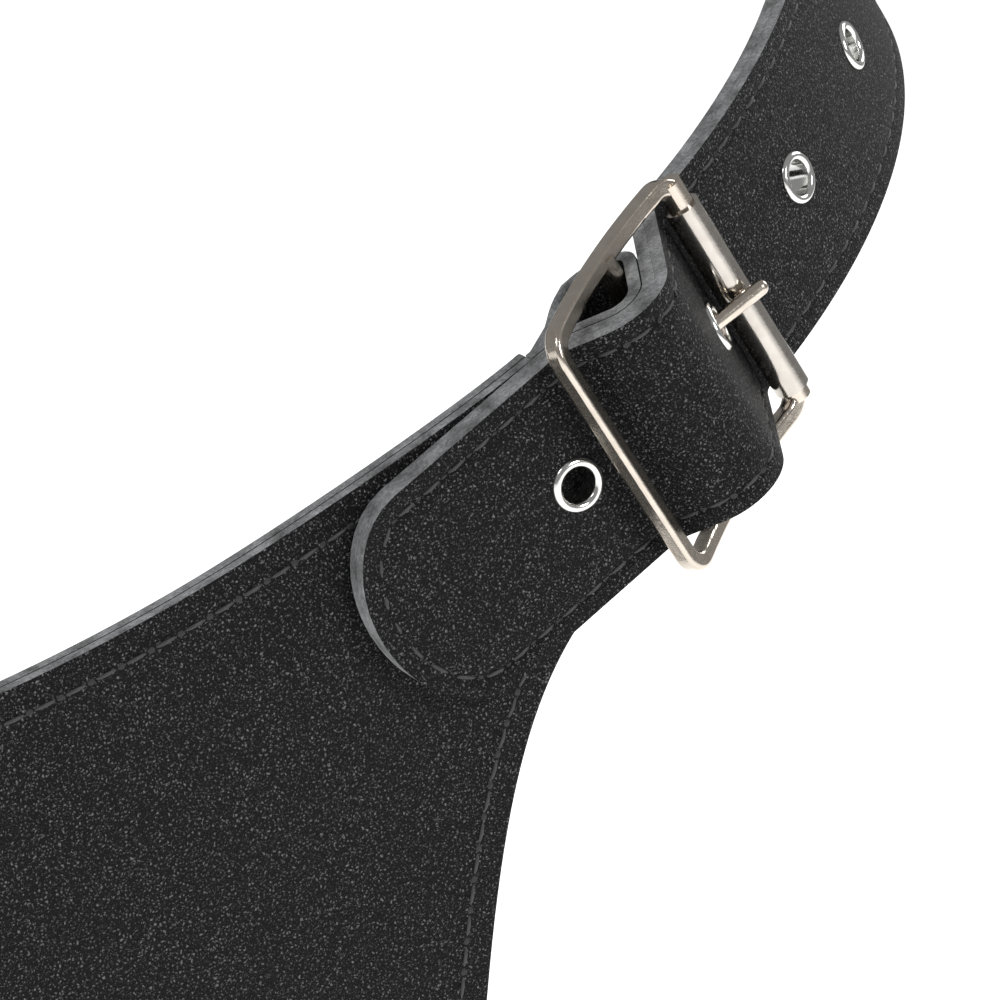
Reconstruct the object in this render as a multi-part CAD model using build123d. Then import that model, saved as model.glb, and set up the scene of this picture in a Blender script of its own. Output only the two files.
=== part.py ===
from build123d import *
import math
import os

# Body pad worn at the waist: a curved two-ply leather front, a sewn foam cushion
# on its back, and a separate two-ply strap buckled at both ends round the back.
# Millimetres. X runs left to right, the front faces -Y, Z is up.
# The origin is the middle of the wearer's waist.

ply = 2.8                    # thickness of one leather ply
gap = 0.3                    # air between leather parts that only touch
strap_width = 50.0
half_strap = strap_width / 2

# panel
turn = 46.0                  # how far each side wing turns from the front
arc_length = 95.0            # half of the curved front, measured round
wing_to_hole = 130.0         # from the curve's end to the tongue hole
hole_height = 150.0          # height of the tongue hole above the waist centre
front_y = -165.0
neck_rise = 33.6             # slope of the neck and strap
panel_dip = 41.0             # top centre below the tongue hole
panel_foot = 322.0           # bottom centre below the tongue hole
side_inset = 17.0            # side edge inside the tongue hole

# cushion
firm_foam = 10.0
soft_foam = 24.0
cover = 1.8
cushion_margin = 24.0        # cushion edge inside the panel edge

# buckle
frame_width = 63.5           # across the strap
frame_reach = 24.3           # centre bar to roller
frame_back = 27.0            # centre bar to the plain end bar
frame_lift = 3.2             # roller above the centre bar
frame_corner = 6.5
bend_radius = 116.5          # the side rails dip at the centre bar
bend_shift = 3.0
frame_tilt = 27.4            # how far the frame leans down from the neck
rail = 3.8
rail_height = 3.9
rail_round = 0.9
centre_bar = 5.0             # diameter
roller_bar = 5.7             # diameter
roller_outer = 7.6
roller_play = 0.05
roller_length = 49.0
roller_shift = 1.6           # the roller sits nearer the lower rail
prong_dia = 3.4
prong_reach = 25.8
prong_drop = 4.3             # rod below the centre bar's axis
prong_rise = 4.6
prong_ring = 1.85            # wall of the ring round the centre bar
ring_width = 5.0
leg_half = 21.5              # half width of the neck's folded-back leg

# strap
tongue_plane = 6.6           # mid of the strap above the centre bar
hole_back = 32.0             # tongue hole behind the centre bar
tip_reach = 50.5             # tongue hole to tip
tip_round = 18.5
rise = 38.0
dive = 62.0
leave = 18.0
hump_radius = 10.0
away_radius = 157.2
away_turn = 60.0
back_y = 206.0
end_reach = 45.0             # handle of the back curve at the bend's end
back_reach = 95.0            # handle of the back curve at its middle
back_rise = 98.0             # back of the strap above the tongue hole
back_lean = 26.0

# eyelets
eyelet_outer = 11.4
eyelet_bore = 7.3
eyelet_wall = 0.5
rim = 0.85
hole_step = 17.2             # degrees round the strap's bend
first_step = 11.4

radius = arc_length / math.radians(turn)
hole_s = arc_length + wing_to_hole


def unit(degrees):
    return Vector(math.cos(math.radians(degrees)), math.sin(math.radians(degrees)))


def meet(p, a, q, b):
    """Point where the line through p at angle a meets the line through q at angle b."""
    u = unit(a)
    v = unit(b)
    d = q - p
    t = (d.X * v.Y - d.Y * v.X) / (u.X * v.Y - u.Y * v.X)
    return p + u * t


def rounded(points, radii):
    """Open path through the corner points with an arc at every inner corner."""
    edges = []
    start = points[0]
    for i in range(1, len(points) - 1):
        back = (points[i - 1] - points[i]).normalized()
        ahead = (points[i + 1] - points[i]).normalized()
        half = math.radians(back.get_angle(ahead)) / 2
        reach = radii[i - 1] / math.tan(half)
        centre_way = (back + ahead).normalized()
        centre = points[i] + centre_way * (radii[i - 1] / math.sin(half))
        first = points[i] + back * reach
        last = points[i] + ahead * reach
        edges.append(Edge.make_line(start, first))
        mid = centre - centre_way * radii[i - 1]
        edges.append(Edge.make_three_point_arc(first, mid, last))
        start = last
    edges.append(Edge.make_line(start, points[-1]))
    return edges


def band(edges, inner, outer):
    """Face between two parallel offsets of a path, left of the path being positive."""
    path = Wire(edges)
    rails = []
    for amount in (inner, outer):
        if abs(amount) < 1e-6:
            rails.append(path)
        else:
            side = Side.LEFT if amount > 0 else Side.RIGHT
            rails.append(path.offset_2d(abs(amount), Kind.ARC, side, closed=False))
    a = rails[0]
    b = rails[1]
    ends_a = [a @ 0, a @ 1]
    ends_b = [b @ 0, b @ 1]
    if (ends_a[0] - ends_b[0]).length > (ends_a[0] - ends_b[1]).length:
        ends_b.reverse()
    caps = [Edge.make_line(ends_a[0], ends_b[0]), Edge.make_line(ends_a[1], ends_b[1])]
    return Face(Wire(list(a.edges()) + list(b.edges()) + caps))


def across(face, half):
    return Solid.extrude(face.moved(Location((0, 0, -half))), Vector(0, 0, 2 * half))


# ---------------------------------------------------------------- panel outline
along = Vector(math.cos(math.radians(neck_rise)), math.sin(math.radians(neck_rise)))
sideways = Vector(-along.Y, along.X)
hole = Vector(hole_s, hole_height)
neck_ahead = 8.0
neck_top = hole + along * neck_ahead + sideways * half_strap
neck_low = hole + along * neck_ahead - sideways * half_strap


def bezier_chain(start, legs):
    """Edges through the legs; each leg is (first handle, second handle, end)."""
    edges = []
    for first, second, end in legs:
        edges.append(Edge.make_bezier(start, first, second, end))
        start = end
    return edges


def panel_face():
    top_mid = Vector(0, hole_height - panel_dip)
    low_mid = Vector(0, hole_height - panel_foot)
    slope = Vector(0.922, 0.387)
    down = Vector(-0.09, -1)
    join = hole + Vector(-79, -11.5)
    waist = hole + Vector(-side_inset, -108)
    corner_high = hole + Vector(-side_inset - 14, -panel_foot + 92)
    corner_low = hole + Vector(-side_inset - 78, -panel_foot + 10)
    top = bezier_chain(
        top_mid,
        [
            (top_mid + Vector(60, 0), join - slope * 38, join),
            (join + slope * 20, neck_top - along * 18, neck_top),
        ],
    )
    side = bezier_chain(
        neck_low,
        [
            (neck_low - along * 28, waist - down * 56, waist),
            (waist + down * 50, corner_high + Vector(6, 40), corner_high),
            (corner_high - Vector(6, 40), corner_low + Vector(45, 7), corner_low),
            (corner_low - Vector(45, 7), low_mid + Vector(60, 0), low_mid),
        ],
    )
    end = Edge.make_line(neck_top, neck_low)
    middle = Edge.make_line(low_mid, top_mid)
    return Face(Wire(top + [end] + side + [middle]))


def cushion_face(inset):
    m = cushion_margin + inset
    top_mid = Vector(0, hole_height - panel_dip - m)
    low_mid = Vector(0, hole_height - panel_foot + m)
    shoulder = hole + Vector(-side_inset - 58 - 0.4 * inset, -12 - m)
    corner_top = hole + Vector(-side_inset - m, -66 - m)
    corner_high = hole + Vector(-side_inset - 14 - m, -panel_foot + 92)
    corner_low = hole + Vector(-side_inset - 78, -panel_foot + 10 + m)
    edges = bezier_chain(
        top_mid,
        [
            (top_mid + Vector(60, 0), shoulder - Vector(40, 12), shoulder),
            (shoulder + Vector(26, 8), corner_top + Vector(2, 32), corner_top),
            (corner_top - Vector(3, 45), corner_high + Vector(6, 40), corner_high),
            (corner_high - Vector(5, 34), corner_low + Vector(38, 6), corner_low),
            (corner_low - Vector(45, 7), low_mid + Vector(60, 0), low_mid),
        ],
    )
    return Face(Wire(edges + [Edge.make_line(low_mid, top_mid)]))


def wing_plane(depth):
    """Plane on the right wing; x follows the wing, y is up, its origin is s = 0."""
    h = Vector(math.cos(math.radians(turn)), math.sin(math.radians(turn)), 0)
    n = Vector(h.Y, -h.X, 0)
    start = Vector(radius * n.X, front_y + radius * (1 + n.Y), 0)
    return Plane(origin=start - h * arc_length - n * depth, x_dir=h, z_dir=n)


def layer(face, depth, thick):
    """Solid of the given outline between two depths below the outer surface."""
    beyond = Pos(arc_length + 200, 0) * Rectangle(400, 900)
    pieces = []
    wing = wing_plane(depth + thick)
    flat = (Sketch() + face) & beyond
    pieces.append(extrude(wing * flat, thick, dir=wing.z_dir))
    zones = 3
    step = turn / zones
    for k in range(zones):
        mid = (k + 0.5) * step
        h = Vector(math.cos(math.radians(mid)), math.sin(math.radians(mid)), 0)
        n = Vector(h.Y, -h.X, 0)
        centre = Vector(0, front_y + radius, 0)
        s_mid = math.radians(mid) * radius
        tangent = Plane(origin=centre + n * radius - h * s_mid, x_dir=h, z_dir=n)
        strip = Pos(s_mid, 0) * Rectangle(math.radians(step) * radius + 8, 900)
        slab = extrude(tangent * ((Sketch() + face) & strip), 60, dir=tangent.z_dir, both=True)
        rim_face = Face(
            Wire.make_polygon(
                [
                    centre,
                    centre + 2 * radius * Vector(*ray(k * step)),
                    centre + 2 * radius * Vector(*ray(mid)),
                    centre + 2 * radius * Vector(*ray((k + 1) * step)),
                ]
            )
        )
        wedge = Solid.extrude(rim_face.moved(Location((0, 0, -450))), Vector(0, 0, 900))
        ring = Solid.make_cylinder(radius - depth, 900) - Solid.make_cylinder(radius - depth - thick, 900)
        ring = ring.moved(Location((centre.X, centre.Y, -450)))
        pieces.append(slab & (ring & wedge))
    right = Part() + pieces
    return right + mirror(right, about=Plane.YZ)


def ray(angle):
    return (math.sin(math.radians(angle)), -math.cos(math.radians(angle)), 0)


# ---------------------------------------------------------------- buckle frame of reference
wing_dir = Vector(math.cos(math.radians(turn)), math.sin(math.radians(turn)), 0)
outward = Vector(wing_dir.Y, -wing_dir.X, 0)
strap_dir = wing_dir * along.X + Vector(0, 0, 1) * along.Y
width_dir = strap_dir.cross(outward)
neck_outer = tongue_plane - ply - gap
hole_point = wing_plane(0).from_local_coords(Vector(hole.X, hole.Y, 0))
bar_point = hole_point + strap_dir * hole_back - outward * neck_outer
side_plane = Plane(origin=bar_point, x_dir=strap_dir, z_dir=width_dir)

# ---------------------------------------------------------------- strap path at the buckle
roller_at = unit(-frame_tilt) * frame_reach + unit(90 - frame_tilt) * frame_lift
rise_point = Vector(-12.0, 12.5)
dive_point = unit(90 - dive) * (centre_bar / 2 + 0.2 + ply + gap + ply)
leave_point = roller_at - unit(90 - leave) * (roller_outer / 2 + 0.8 + ply)
tip = Vector(-hole_back - tip_reach, tongue_plane)
foot = meet(Vector(0, tongue_plane), 0, rise_point, rise)
hump = meet(rise_point, rise, dive_point, -dive)
tuck = meet(dive_point, -dive, leave_point, -leave)
away = tuck + unit(-leave) * 8.0
strap_path = rounded([tip, foot, hump, tuck, away], [8.8, hump_radius, 7.4])
away_centre = away - unit(90 - leave) * away_radius


def on_bend(angle, offset):
    return away_centre + unit(90 - leave - angle) * (away_radius + offset)


strap_path.append(
    Edge.make_three_point_arc(away, on_bend(away_turn / 2, 0), on_bend(away_turn, 0))
)

# strap round the back: cross-sections between the two bends
strap_end = side_plane.from_local_coords(on_bend(away_turn, 0))
end_heading = unit(-leave - away_turn)
end_dir = strap_dir * end_heading.X + outward * end_heading.Y
back_mid = Vector(0, back_y, hole_height + back_rise)
back_path = Edge.make_bezier(
    strap_end,
    strap_end + end_dir * end_reach,
    back_mid + Vector(back_reach, 0, 0),
    back_mid,
)
back_width = Vector(0, math.sin(math.radians(back_lean)), -math.cos(math.radians(back_lean)))


def back_section(share, flip):
    """Position, heading and width direction; share runs from the bend's end to the back."""
    at = back_path.position_at(share)
    heading = back_path.tangent_at(share)
    keep = 1 - share
    blend = keep * keep * (3 - 2 * keep)
    wide = width_dir * blend + back_width * (1 - blend)
    wide = (wide - heading * wide.dot(heading)).normalized()
    up = wide.cross(heading)
    if flip:
        at = Vector(-at.X, at.Y, at.Z)
        heading = Vector(heading.X, -heading.Y, -heading.Z)
        wide = Vector(-wide.X, wide.Y, wide.Z)
        up = Vector(-up.X, up.Y, up.Z)
    return at, heading, wide, up


def back_strap(inner, outer):
    stations = 8
    spots = [back_section(i / stations, False) for i in range(stations + 1)]
    spots += [back_section(i / stations, True) for i in range(stations - 1, -1, -1)]
    wires = []
    for at, heading, wide, up in spots:
        corners = []
        for side, height in ((-1, inner), (1, inner), (1, outer), (-1, outer)):
            corners.append(at + wide * (side * half_strap) + up * height)
        wires.append(Wire.make_polygon(corners))
    return Solid.make_loft(wires)


def at_right(shape):
    return shape.moved(side_plane.location)


def hole_places():
    """Centre on the strap's mid surface and outward angle of each eyelet."""
    places = [(Vector(-hole_back, tongue_plane), 90)]
    spot = meet(dive_point, -dive, Vector(0, -prong_drop), prong_rise)
    places.append((spot, 90 - dive))
    for k in range(3):
        angle = first_step + k * hole_step
        places.append((on_bend(angle, 0), 90 - leave - angle))
    return places


def place(shape, spot, angle):
    """Stand a shape built along +Z at a point of the strap, along its outward normal."""
    way = unit(angle)
    seat = Plane(origin=spot, x_dir=(0, 0, 1), z_dir=way)
    return shape.moved(seat.location)


def hole_tool():
    bore = Solid.make_cylinder(eyelet_bore / 2 + eyelet_wall + 0.05, 20)
    bore = bore.moved(Location((0, 0, -10)))
    seat = Solid.make_cylinder(eyelet_outer / 2, 10).moved(Location((0, 0, -ply - 10 + rim)))
    return bore + seat


def eyelet_shape():
    inner = eyelet_bore / 2
    barrel = inner + eyelet_wall
    flange = eyelet_outer / 2
    top = ply + 0.02
    low = -ply + 0.1
    corners = [
        Vector(flange, 0, top),
        Vector(barrel, 0, top),
        Vector(barrel, 0, low + 0.4),
        Vector(flange - 0.6, 0, low + 0.4),
        Vector(flange - 0.6, 0, low),
        Vector(inner, 0, low),
        Vector(inner, 0, top - 0.1),
    ]
    edges = [Edge.make_line(corners[i], corners[i + 1]) for i in range(len(corners) - 1)]
    crest = Vector((flange + inner) / 2 + 0.15, 0, top + rim)
    edges.append(Edge.make_three_point_arc(corners[-1], crest, corners[0]))
    profile = Face(Wire(edges))
    return Solid.revolve(profile, 360, Axis.Z)


def tip_cut():
    corner = Solid.make_box(60, 80, 40).moved(Location((-60, -40, -20)))
    round_end = Solid.extrude(Face(Wire.make_ellipse(tip_round, half_strap)), Vector(0, 0, 60))
    tool = corner - round_end.moved(Location((0, 0, -30)))
    centre = Vector(tip.X + tip_round, tongue_plane)
    seat = Plane(origin=centre, x_dir=(1, 0, 0), z_dir=(0, 1, 0))
    return tool.moved(seat.location)


def strap_ply(inner, outer):
    end = across(band(strap_path, inner, outer), half_strap)
    end = end - tip_cut()
    for spot, angle in hole_places():
        end = end - place(hole_tool(), spot, angle)
    right = at_right(end)
    whole = Part() + [right, back_strap(inner, outer), mirror(right, about=Plane.YZ)]
    return whole


# ---------------------------------------------------------------- neck fold round the centre bar
fold_mid = ply + gap + ply / 2
neck_mid = tongue_plane - fold_mid
fold_rise = rise_point - unit(rise + 90) * fold_mid
fold_dive = dive_point - unit(90 - dive) * fold_mid
return_mid = neck_mid - ply / 2 - ply - gap - ply / 2
neck_end = Vector(-hole_back + neck_ahead, neck_mid)
fold_foot = meet(Vector(0, neck_mid), 0, fold_rise, rise)
fold_top = meet(fold_rise, rise, fold_dive, -dive)
fold_far = fold_dive + unit(-dive) * 7.4
fold_path = rounded(
    [
        neck_end,
        fold_foot,
        fold_top,
        fold_far,
        Vector(-1.5, -10.6),
        Vector(-10.5, -10.4),
        Vector(-21.5, return_mid),
        Vector(-54.0, return_mid),
    ],
    [8.8 + fold_mid, hump_radius - fold_mid, 4.2, 6.0, 6.0, 8.0],
)


def fold():
    loop = across(band(fold_path, -ply / 2, ply / 2), half_strap)
    slot = Solid.make_box(20, 16, 2 * ring_width * 0.7).moved(Location((-1, -10, -ring_width * 0.7)))
    trims = []
    for low in (leg_half, -leg_half - 20):
        trims.append(Solid.make_box(50, 14, 20).moved(Location((-62, -16, low))))
    return loop - slot - trims


# ---------------------------------------------------------------- buckle
def frame():
    centre = Vector(-bend_shift, bend_radius)
    outer_disc = Face(Wire.make_circle(bend_radius + rail_height / 2))
    inner_disc = Face(Wire.make_circle(bend_radius - rail_height / 2))
    strip = (outer_disc - inner_disc).moved(Location((centre.X, centre.Y, 0)))
    reach = frame_back + frame_reach
    seat = Plane(
        origin=((frame_reach - frame_back) / 2, 40, 0), x_dir=(1, 0, 0), z_dir=(0, 1, 0)
    )
    plan = Sketch() + RectangleRounded(reach + rail, frame_width, frame_corner)
    plan = plan - RectangleRounded(reach - rail, frame_width - 2 * rail, frame_corner - rail)
    ring = extrude(seat * plan, 45, both=True) & across(strip, frame_width)
    ring = fillet(ring.edges(), rail_round)
    length = frame_width - rail
    bar = Solid.make_cylinder(centre_bar / 2, length).moved(Location((0, 0, -length / 2)))
    length = frame_width - 2 * rail + 2
    end = Solid.make_cylinder(roller_bar / 2, length)
    end = end.moved(Location((frame_reach, frame_lift, -length / 2)))
    return ring + [bar, end]


def roller():
    tube = Solid.make_cylinder(roller_outer / 2, roller_length) - Solid.make_cylinder(
        roller_bar / 2 + roller_play, roller_length
    )
    return tube.moved(Location((frame_reach, frame_lift, roller_shift - roller_length / 2)))


def prong():
    ring = Solid.make_cylinder(centre_bar / 2 + 0.05 + prong_ring, ring_width)
    ring = ring - Solid.make_cylinder(centre_bar / 2 + 0.05, ring_width)
    ring = ring.moved(Location((0, 0, -ring_width / 2)))
    way = unit(prong_rise)
    base = Vector(0, -prong_drop) + way * 0.4
    seat = Plane(origin=base, x_dir=(0, 0, 1), z_dir=way)
    rod = Solid.make_cylinder(prong_dia / 2, prong_reach).moved(seat.location)
    end = Solid.make_sphere(prong_dia / 2).moved(Location(base + way * prong_reach))
    return Part() + [ring, rod, end]


def tilted(shape):
    return at_right(shape.moved(Location((0, 0, 0), (0, 0, -frame_tilt))))


# ---------------------------------------------------------------- assemble and write
os.makedirs("parts", exist_ok=True)


def write(name, shape):
    export_step(shape, "parts/" + name + ".step")


def pair(name, shape):
    write(name + "_right", shape)
    write(name + "_left", mirror(shape, about=Plane.YZ))


fold_right = at_right(fold())
facing = layer(panel_face(), 0, ply) + [fold_right, mirror(fold_right, about=Plane.YZ)]
write("panel_facing", facing)
write("panel_lining", layer(panel_face(), ply, ply))

pad_depth = 2 * ply + gap
write("cushion_firm_foam", layer(cushion_face(cover + 0.2), pad_depth, firm_foam))
soft_depth = pad_depth + firm_foam + gap
write("cushion_soft_foam", layer(cushion_face(cover + 0.2), soft_depth, soft_foam))
pad_total = soft_depth + soft_foam + gap - pad_depth
shell = layer(cushion_face(0), pad_depth, pad_total + cover)
hollow = layer(cushion_face(cover), pad_depth - 1, pad_total + 1)
write("cushion_cover", shell - hollow)

write("strap_facing", strap_ply(0, ply))
write("strap_lining", strap_ply(-ply, 0))
for number, (spot, angle) in enumerate(hole_places()):
    pair("eyelet_%d" % (number + 1), at_right(place(eyelet_shape(), spot, angle)))

pair("buckle_frame", tilted(frame()))
pair("buckle_roller", tilted(roller()))
pair("buckle_prong", at_right(prong()))
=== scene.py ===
import math

import bpy
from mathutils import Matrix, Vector, geometry, kdtree


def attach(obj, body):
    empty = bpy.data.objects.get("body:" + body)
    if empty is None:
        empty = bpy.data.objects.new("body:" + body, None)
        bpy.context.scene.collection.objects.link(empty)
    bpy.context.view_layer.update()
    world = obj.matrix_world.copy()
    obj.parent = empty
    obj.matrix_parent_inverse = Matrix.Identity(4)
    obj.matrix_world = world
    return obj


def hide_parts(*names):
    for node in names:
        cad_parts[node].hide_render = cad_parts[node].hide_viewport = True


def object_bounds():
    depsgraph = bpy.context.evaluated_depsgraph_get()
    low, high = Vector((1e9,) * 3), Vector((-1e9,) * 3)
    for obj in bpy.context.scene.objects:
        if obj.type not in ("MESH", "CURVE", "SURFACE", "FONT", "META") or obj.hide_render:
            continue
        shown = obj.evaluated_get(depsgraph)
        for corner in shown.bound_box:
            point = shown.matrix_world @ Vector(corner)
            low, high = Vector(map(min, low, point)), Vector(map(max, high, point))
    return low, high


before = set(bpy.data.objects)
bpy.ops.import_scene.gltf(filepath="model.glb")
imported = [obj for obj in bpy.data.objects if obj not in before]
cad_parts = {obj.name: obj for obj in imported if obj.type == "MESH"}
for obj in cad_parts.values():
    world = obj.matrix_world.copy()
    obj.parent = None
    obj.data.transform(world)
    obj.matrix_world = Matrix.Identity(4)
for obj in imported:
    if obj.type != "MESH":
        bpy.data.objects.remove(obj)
cad_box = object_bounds()

MM = 0.001

# ------------------------------------------------------------------ sizes, in millimetres
PLY = 2.8                       # one layer of hide
GAP = 0.3                       # air between leather parts that only touch
HALF_STRAP = 25.0
TURN = math.radians(46.0)       # how far each side wing turns from the front
ARC = 95.0                      # half of the curved front, measured round
HOLE_S = ARC + 130.0            # the tongue's hole, measured round the front
HOLE_Z = 150.0                  # and its height above the waist's centre
FRONT_Y = -165.0
RADIUS = ARC / TURN
NECK_RISE = math.radians(33.6)  # slope of the neck and strap
PANEL_DIP = 41.0                # top centre below the tongue's hole
PANEL_FOOT = 322.0              # bottom centre below the tongue's hole
SIDE_INSET = 17.0               # side edge inside the tongue's hole

HOLE_BACK = 32.0                # tongue's hole behind the centre bar
TONGUE_MID = 6.6                # mid of the strap above the centre bar
TIP_X = -82.5                   # end of the tongue
TIP_ROUND = 18.5
TIP_ANGLES = (4, 9, 15, 21, 28, 35, 43, 51, 60, 70, 80)
BAR_RADIUS = 2.5
BAR_GAP = 0.2
FRAME_TILT = 27.4               # how far the frame leans down from the neck
FRAME_REACH = 24.3              # centre bar to roller
FRAME_LIFT = 3.2                # roller above the centre bar
ROLLER_RADIUS = 3.8
ROLLER_GAP = 0.8
RISE = 38.0                     # slopes of the strap over the buckle, in degrees
DIVE = 62.0
LEAVE = 18.0
FOOT_RADIUS = 8.8
HUMP_RADIUS = 10.0
TUCK_RADIUS = 7.4
AWAY_RUN = 8.0                  # straight run from the tuck to the bend
AWAY_RADIUS = 157.2
AWAY_TURN = 60.0
AWAY_STEPS = 42
BACK_Y = 206.0
BACK_RISE = 98.0                # back of the strap above the tongue's hole
BACK_LEAN = math.radians(26.0)
END_REACH = 45.0                # handle of the back curve at the bend's end
BACK_REACH = 95.0               # handle of the back curve at its middle
BACK_STEPS = 60
NECK_RUN = 8.0                  # from the tongue's hole to the fold
PRONG_DROP = 4.05               # line that the hole under the prong is laid out on
PRONG_RISE = 3.6
FIRST_STEP = 11.4               # eyelets round the bend, in degrees
HOLE_STEP = 17.2
HOLE_RADIUS = 4.2

STITCH_PITCH = 6.6
THREAD_LENGTH = 5.4
STRAP_SEAM = 4.2                # seam's distance from the edge
PANEL_SEAM = 6.2


def polar(degrees):
    return Vector((math.cos(math.radians(degrees)), math.sin(math.radians(degrees))))


def flat_point(x, y):
    return Vector((x, y))


# the right wing's directions: along the wing, outward, along the strap, across the strap
WING = Vector((math.cos(TURN), math.sin(TURN), 0))
OUT = Vector((WING.y, -WING.x, 0))
ALONG = WING * math.cos(NECK_RISE) + Vector((0, 0, math.sin(NECK_RISE)))
ACROSS = ALONG.cross(OUT)
ARC_CENTRE = Vector((0, FRONT_Y + RADIUS, 0))


def panel_point(s, z, depth):
    """Point of the curved panel: s round the front, z up, depth below the outer face."""
    side = -1 if s < 0 else 1
    s = abs(s)
    if s <= ARC:
        a = s / RADIUS
        p = ARC_CENTRE + Vector((math.sin(a), -math.cos(a), 0)) * (RADIUS - depth)
    else:
        p = ARC_CENTRE + OUT * (RADIUS - depth) + WING * (s - ARC)
    return Vector((p.x * side, p.y, z))


BAR = panel_point(HOLE_S, HOLE_Z, 0) + ALONG * HOLE_BACK - OUT * (TONGUE_MID - PLY - GAP)


def side_point(x, z, w):
    """Point by the right buckle: x along the strap, z outward, w across, from the centre bar."""
    return BAR + ALONG * x + OUT * z + ACROSS * w


def mirrored(p):
    return Vector((-p.x, p.y, p.z))


# ------------------------------------------------------------------ paths
def meet(p, a, q, b):
    """Point where the line through p at angle a meets the line through q at angle b."""
    u = polar(a)
    v = polar(b)
    d = q - p
    t = (d.x * v.y - d.y * v.x) / (u.x * v.y - u.y * v.x)
    return p + u * t


def heading_of(v):
    return math.degrees(math.atan2(v.y, v.x))


def rounded(points, radii, step):
    """Samples (position, heading in degrees) of a path with an arc at every inner corner."""
    out = []

    def line(a, b):
        n = max(1, int((b - a).length / step))
        for k in range(n):
            out.append((a.lerp(b, k / n), heading_of(b - a)))

    start = points[0]
    for i in range(1, len(points) - 1):
        back = (points[i - 1] - points[i]).normalized()
        ahead = (points[i + 1] - points[i]).normalized()
        half = back.angle(ahead) / 2
        radius = radii[i - 1]
        reach = radius / math.tan(half)
        first = points[i] + back * reach
        last = points[i] + ahead * reach
        centre = points[i] + (back + ahead).normalized() * (radius / math.sin(half))
        line(start, first)
        h0 = heading_of(-back)
        h1 = heading_of(ahead)
        change = (h1 - h0 + 180) % 360 - 180
        n = max(3, int(abs(math.radians(change)) * radius / min(step, 1.2)))
        for k in range(n):
            h = h0 + change * k / n
            side = -90 if change > 0 else 90
            out.append((centre + polar(h + side) * radius, h))
        start = last
    line(start, points[-1])
    out.append((points[-1], heading_of(points[-1] - start)))
    return out


ROLLER = polar(-FRAME_TILT) * FRAME_REACH + polar(90 - FRAME_TILT) * FRAME_LIFT
rise_at = Vector((-12.0, 12.5))
dive_at = polar(90 - DIVE) * (BAR_RADIUS + BAR_GAP + PLY + GAP + PLY)
leave_at = ROLLER - polar(90 - LEAVE) * (ROLLER_RADIUS + ROLLER_GAP + PLY)
foot = meet(Vector((0, TONGUE_MID)), 0, rise_at, RISE)
hump = meet(rise_at, RISE, dive_at, -DIVE)
tuck = meet(dive_at, -DIVE, leave_at, -LEAVE)
away = tuck + polar(-LEAVE) * AWAY_RUN
away_centre = away - polar(90 - LEAVE) * AWAY_RADIUS


def tip_back(degrees):
    """Distance from the tongue's end to a place on its round, counted from the end."""
    return TIP_ROUND * (1 - math.cos(math.radians(degrees)))


def on_bend(angle):
    return away_centre + polar(90 - LEAVE - angle) * AWAY_RADIUS


def strap_stations():
    """(place, across, up) from the right tongue's tip to the middle of the back."""
    bends = rounded(
        [Vector((TIP_X, TONGUE_MID)), foot, hump, tuck, away],
        [FOOT_RADIUS, HUMP_RADIUS, TUCK_RADIUS], 2.0,
    )
    flat = [(Vector((TIP_X + tip_back(a), TONGUE_MID)), 0.0) for a in TIP_ANGLES]
    flat += [station for station in bends if station[0].x > TIP_X + TIP_ROUND]
    for k in range(1, AWAY_STEPS + 1):
        a = AWAY_TURN * k / AWAY_STEPS
        flat.append((on_bend(a), -LEAVE - a))
    out = []
    for p, h in flat:
        c = math.cos(math.radians(h))
        s = math.sin(math.radians(h))
        out.append((side_point(p.x, p.y, 0), ACROSS.copy(), OUT * c - ALONG * s))
    end = out[-1][0]
    h = math.radians(-LEAVE - AWAY_TURN)
    end_dir = ALONG * math.cos(h) + OUT * math.sin(h)
    back = Vector((0, BACK_Y, HOLE_Z + BACK_RISE))
    back_across = Vector((0, math.sin(BACK_LEAN), -math.cos(BACK_LEAN)))
    first = end + end_dir * END_REACH
    second = back + Vector((BACK_REACH, 0, 0))
    for k in range(1, BACK_STEPS + 1):
        t = k / BACK_STEPS
        m = 1 - t
        p = end * m**3 + first * 3 * m * m * t + second * 3 * m * t * t + back * t**3
        d = ((first - end) * m * m + (second - first) * 2 * m * t + (back - second) * t * t).normalized()
        blend = m * m * (3 - 2 * m)
        wide = ACROSS * blend + back_across * (1 - blend)
        wide = (wide - d * wide.dot(d)).normalized()
        out.append((p, wide, wide.cross(d)))
    return out


right_half = strap_stations()
whole_strap = right_half + [
    (mirrored(p), mirrored(w), mirrored(u)) for p, w, u in reversed(right_half[:-1])
]
strap_run = [0.0]
for k in range(1, len(whole_strap)):
    strap_run.append(strap_run[-1] + (whole_strap[k][0] - whole_strap[k - 1][0]).length)
STRAP_LENGTH = strap_run[-1]


def strap_half_width(run):
    """Half width at a distance along the strap: full, but for the two round tips."""
    from_tip = min(run, STRAP_LENGTH - run) + tip_back(TIP_ANGLES[0])
    if from_tip >= TIP_ROUND:
        return HALF_STRAP
    share = (TIP_ROUND - from_tip) / TIP_ROUND
    return HALF_STRAP * math.sqrt(max(0.0, 1 - share * share))


def strap_at(run, w, height):
    """(place, across, up) at a distance along the strap, w across and height above."""
    lo, hi = 0, len(strap_run) - 1
    while hi - lo > 1:
        mid = (lo + hi) // 2
        if strap_run[mid] <= run:
            lo = mid
        else:
            hi = mid
    t = (run - strap_run[lo]) / (strap_run[hi] - strap_run[lo])
    a = whole_strap[lo]
    b = whole_strap[hi]
    wide = a[1].lerp(b[1], t).normalized()
    up = a[2].lerp(b[2], t).normalized()
    return a[0].lerp(b[0], t) + wide * w + up * height, wide, up


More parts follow.
